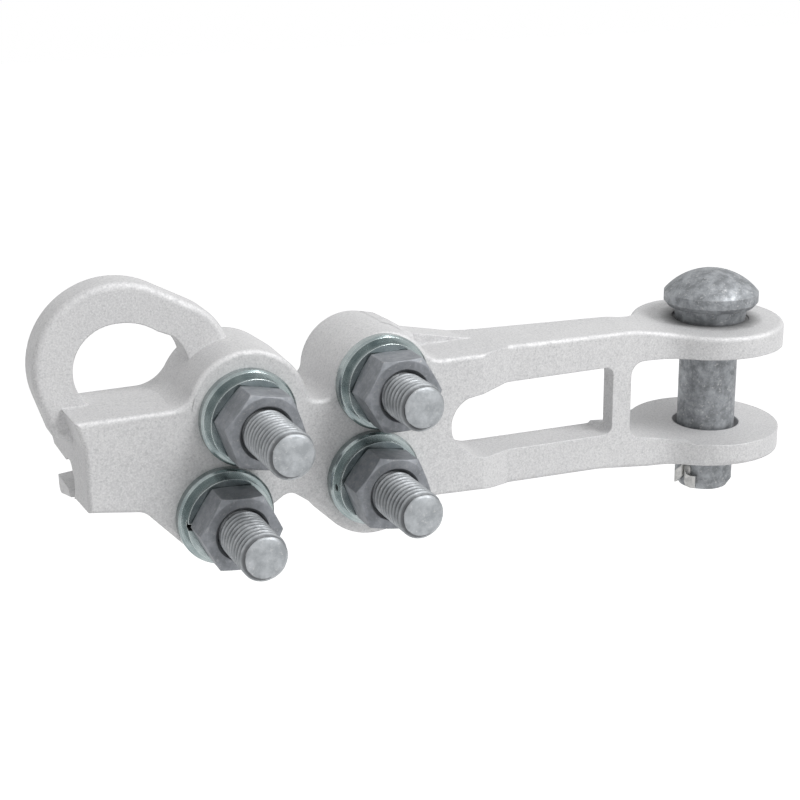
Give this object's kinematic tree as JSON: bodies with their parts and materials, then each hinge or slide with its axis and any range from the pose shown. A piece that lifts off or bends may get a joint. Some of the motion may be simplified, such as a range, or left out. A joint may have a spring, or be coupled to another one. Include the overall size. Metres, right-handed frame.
{
  "type": "strain clamp",
  "caption": "Bolted dead-end clamp: cast arm body with clevis and pulling eye, grooved keeper drawn in by U-bolts with nuts and washers, clevis pin and split pin.",
  "frame": {"origin": "on the clevis pin axis, midway between the two clevis lugs", "axes": "+X away from the pulling eye past the clevis end, -Y towards the nut side, +Z along the clevis pin towards its head"},
  "size_m": [0.2084, 0.0765, 0.077],
  "materials": {
    "cast_body": "shot-blasted casting, matte",
    "cast_keeper": "shot-blasted casting, matte",
    "galvanised_bolt": "hot-dip galvanised, dull",
    "galvanised_nut": "hot-dip galvanised, dull",
    "plated_washer": "zinc plated, slightly glossy",
    "galvanised_pin": "hot-dip galvanised, mottled",
    "stainless_wire": "drawn stainless wire"
  },
  "bodies": {
    "casting": {"clamp_body": "cast_body", "flat_washer_upper_left": "plated_washer", "flat_washer_lower_left": "plated_washer", "flat_washer_upper_right": "plated_washer", "flat_washer_lower_right": "plated_washer", "spring_washer_upper_left": "plated_washer", "spring_washer_lower_left": "plated_washer", "spring_washer_upper_right": "plated_washer", "spring_washer_lower_right": "plated_washer"},
    "keeper_and_u_bolts": {"keeper": "cast_keeper", "u_bolt_left": "galvanised_bolt", "u_bolt_right": "galvanised_bolt"},
    "nut_upper_left": {"nut_upper_left": "galvanised_nut"},
    "nut_lower_left": {"nut_lower_left": "galvanised_nut"},
    "nut_upper_right": {"nut_upper_right": "galvanised_nut"},
    "nut_lower_right": {"nut_lower_right": "galvanised_nut"},
    "pin": {"clevis_pin": "galvanised_pin", "split_pin": "stainless_wire"}
  },
  "joints": [
    {"name": "keeper_open", "type": "slide", "parent": "casting", "child": "keeper_and_u_bolts", "axis": [0, 1, 0], "range_m": [0, 0.014]},
    {"name": "nut_upper_left_turn", "type": "hinge", "parent": "casting", "child": "nut_upper_left", "pos_m": [-0.14091, -0.0244, 0.01372], "axis": [0, -1, 0], "range_deg": [0, 2880.1]},
    {"name": "nut_lower_left_turn", "type": "hinge", "parent": "casting", "child": "nut_lower_left", "pos_m": [-0.14769, -0.0244, -0.00992], "axis": [0, -1, 0], "range_deg": [0, 2880.1]},
    {"name": "nut_upper_right_turn", "type": "hinge", "parent": "casting", "child": "nut_upper_right", "pos_m": [-0.10621, -0.0244, 0.01802], "axis": [0, -1, 0], "range_deg": [0, 2880.1]},
    {"name": "nut_lower_right_turn", "type": "hinge", "parent": "casting", "child": "nut_lower_right", "pos_m": [-0.10899, -0.0244, -0.00642], "axis": [0, -1, 0], "range_deg": [0, 2880.1]},
    {"name": "pin_turn", "type": "hinge", "parent": "casting", "child": "pin", "pos_m": [0, 0, 0], "axis": [0, 0, 1], "continuous": true}
  ],
  "couplings": [
    {"joint": "nut_upper_left_turn", "follows": "keeper_open", "rad_per_m": 3590.4},
    {"joint": "nut_lower_left_turn", "follows": "keeper_open", "rad_per_m": 3590.4},
    {"joint": "nut_upper_right_turn", "follows": "keeper_open", "rad_per_m": 3590.4},
    {"joint": "nut_lower_right_turn", "follows": "keeper_open", "rad_per_m": 3590.4}
  ]
}
